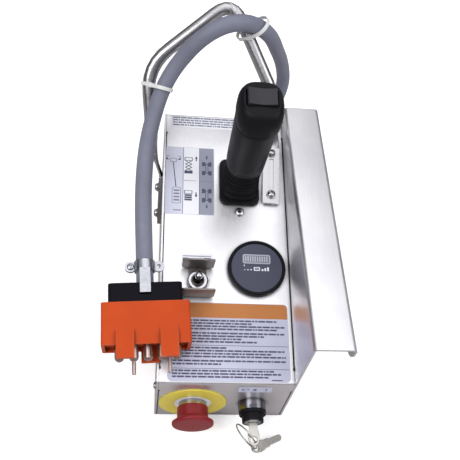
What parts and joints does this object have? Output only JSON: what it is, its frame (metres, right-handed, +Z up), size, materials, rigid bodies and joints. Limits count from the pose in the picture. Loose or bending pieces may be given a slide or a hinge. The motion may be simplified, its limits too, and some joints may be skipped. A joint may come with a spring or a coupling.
{
  "type": "scissor lift control box",
  "caption": "Hooked sheet-metal lift control box with a trigger joystick, guarded toggle, gauge, emergency stop, key switch, tubular guard and a cable ending in a flat plug.",
  "frame": {"origin": "centre of the folded box's flat bottom face", "axes": "+X to the side with the hook flange, +Y from the front face with the stop button to the back, +Z up"},
  "size_m": [0.2129, 0.4307, 0.2625],
  "materials": {
    "brushed_aluminium": "brushed sheet with dull scratches",
    "bright_steel": "bright plated",
    "satin_aluminium_tube": "satin tube",
    "black_plastic": "black moulded",
    "gauge_slate": "smooth slate lens",
    "grey_plastic": "dark grey moulded",
    "zinc_steel": "zinc plated",
    "dark_steel": "dark brown paint",
    "dark_red_plastic": "dark red moulded case",
    "plated_lever": "bright plated lever",
    "boot_rubber": "dull bellows",
    "dark_grey_plastic": "dark moulded",
    "yellow_plastic": "yellow plate",
    "red_plastic": "red moulded",
    "lock_steel": "turned face",
    "key_steel": "stamped and nickel plated",
    "cable_jacket": "grey jacket",
    "white_nylon": "natural nylon",
    "orange_plastic": "orange moulded",
    "pin_copper": "tarnished copper",
    "board_green": "green laminate"
  },
  "bodies": {
    "console": {"top_shell": "brushed_aluminium", "left_side_plate": "brushed_aluminium", "hook_plate": "brushed_aluminium", "bottom_cover": "brushed_aluminium", "cover_screws": "bright_steel", "guard_tube": "satin_aluminium_tube", "guard_screws": "bright_steel", "gauge_bezel": "black_plastic", "gauge_face": "gauge_slate", "gauge_body": "grey_plastic", "gauge_clamp": "zinc_steel", "toggle_guard": "dark_steel", "toggle_washer": "bright_steel", "toggle_nut": "bright_steel", "toggle_body": "dark_red_plastic", "joystick_base": "black_plastic", "joystick_housing": "grey_plastic", "joystick_screws": "bright_steel", "pivot_pin": "bright_steel", "estop_legend": "yellow_plastic", "estop_collar": "bright_steel", "estop_body": "grey_plastic", "estop_nut": "zinc_steel", "estop_contacts": "grey_plastic", "key_bezel": "bright_steel", "key_barrel": "black_plastic", "key_nut": "zinc_steel", "key_contacts": "grey_plastic", "gland_body": "black_plastic", "gland_cap": "black_plastic", "gland_locknut": "zinc_steel", "control_cable": "cable_jacket", "cable_ties": "white_nylon", "plug_hood": "black_plastic", "plug_body": "orange_plastic", "plug_pins": "pin_copper", "guide_pin": "pin_copper", "cord_clamp": "zinc_steel", "clamp_screws": "zinc_steel", "circuit_board": "board_green", "board_relays": "black_plastic", "board_standoffs": "zinc_steel"},
    "joystick": {"joystick_shaft": "zinc_steel", "joystick_boot": "boot_rubber", "grip_body": "black_plastic", "grip_head": "black_plastic", "rocker_pin": "bright_steel", "trigger_pin": "bright_steel"},
    "thumb_rocker": {"steering_rocker": "dark_grey_plastic"},
    "trigger": {"interlock_trigger": "dark_grey_plastic"},
    "toggle": {"toggle_lever": "plated_lever"},
    "stop_plunger": {"estop_plunger": "grey_plastic"},
    "stop_head": {"estop_head": "red_plastic"},
    "lock": {"lock_plug": "lock_steel"},
    "key": {"ignition_key": "key_steel"},
    "ring": {"key_ring": "key_steel"},
    "second_key": {"spare_key": "key_steel"}
  },
  "joints": [
    {"name": "joystick_tilt", "type": "hinge", "parent": "console", "child": "joystick", "pos_m": [0.01375, 0.06312, 0.10502], "axis": [1, 0, 0], "range_deg": [-20, 20], "stiffness_Nm_per_rad": 3, "deforming": ["joystick_boot"]},
    {"name": "rocker_tilt", "type": "hinge", "parent": "joystick", "child": "thumb_rocker", "pos_m": [0.01375, 0.03621, 0.25364], "axis": [0, 0.9803, 0.1977], "range_deg": [-12, 12], "stiffness_Nm_per_rad": 0.2},
    {"name": "trigger_pull", "type": "hinge", "parent": "joystick", "child": "trigger", "pos_m": [0.01375, 0.05321, 0.22952], "axis": [-1, 0, 0], "range_deg": [0, 12], "stiffness_Nm_per_rad": 0.2, "springref_deg": -5.73},
    {"name": "toggle_throw", "type": "hinge", "parent": "console", "child": "toggle", "pos_m": [-0.028, -0.0463, 0.09826], "axis": [0, 0.9803, 0.1977], "range_deg": [-13, 13]},
    {"name": "estop_push", "type": "slide", "parent": "console", "child": "stop_plunger", "axis": [0, 1, 0], "range_m": [0, 0.004], "stiffness_N_per_m": 800, "springref_m": -0.001},
    {"name": "estop_twist", "type": "hinge", "parent": "stop_plunger", "child": "stop_head", "pos_m": [-0.02815, -0.155, 0.0328], "axis": [0, 1, 0], "range_deg": [0, 45], "stiffness_Nm_per_rad": 0.05, "springref_deg": -2.86},
    {"name": "key_turn", "type": "hinge", "parent": "console", "child": "lock", "pos_m": [0.0285, -0.155, 0.033], "axis": [0, -1, 0], "range_deg": [0, 50]},
    {"name": "key_withdraw", "type": "slide", "parent": "lock", "child": "key", "axis": [0, -1, 0], "range_m": [0, 0.02]},
    {"name": "ring_swing", "type": "hinge", "parent": "key", "child": "ring", "pos_m": [0.0285, -0.1753, 0.033], "axis": [-0.6428, 0.766, 0], "range_deg": [-8, 12]},
    {"name": "spare_swing", "type": "hinge", "parent": "ring", "child": "second_key", "pos_m": [0.03191, -0.17744, 0.01537], "axis": [-0.2546, 0.3992, -0.8808], "range_deg": [-10, 10]}
  ]
}
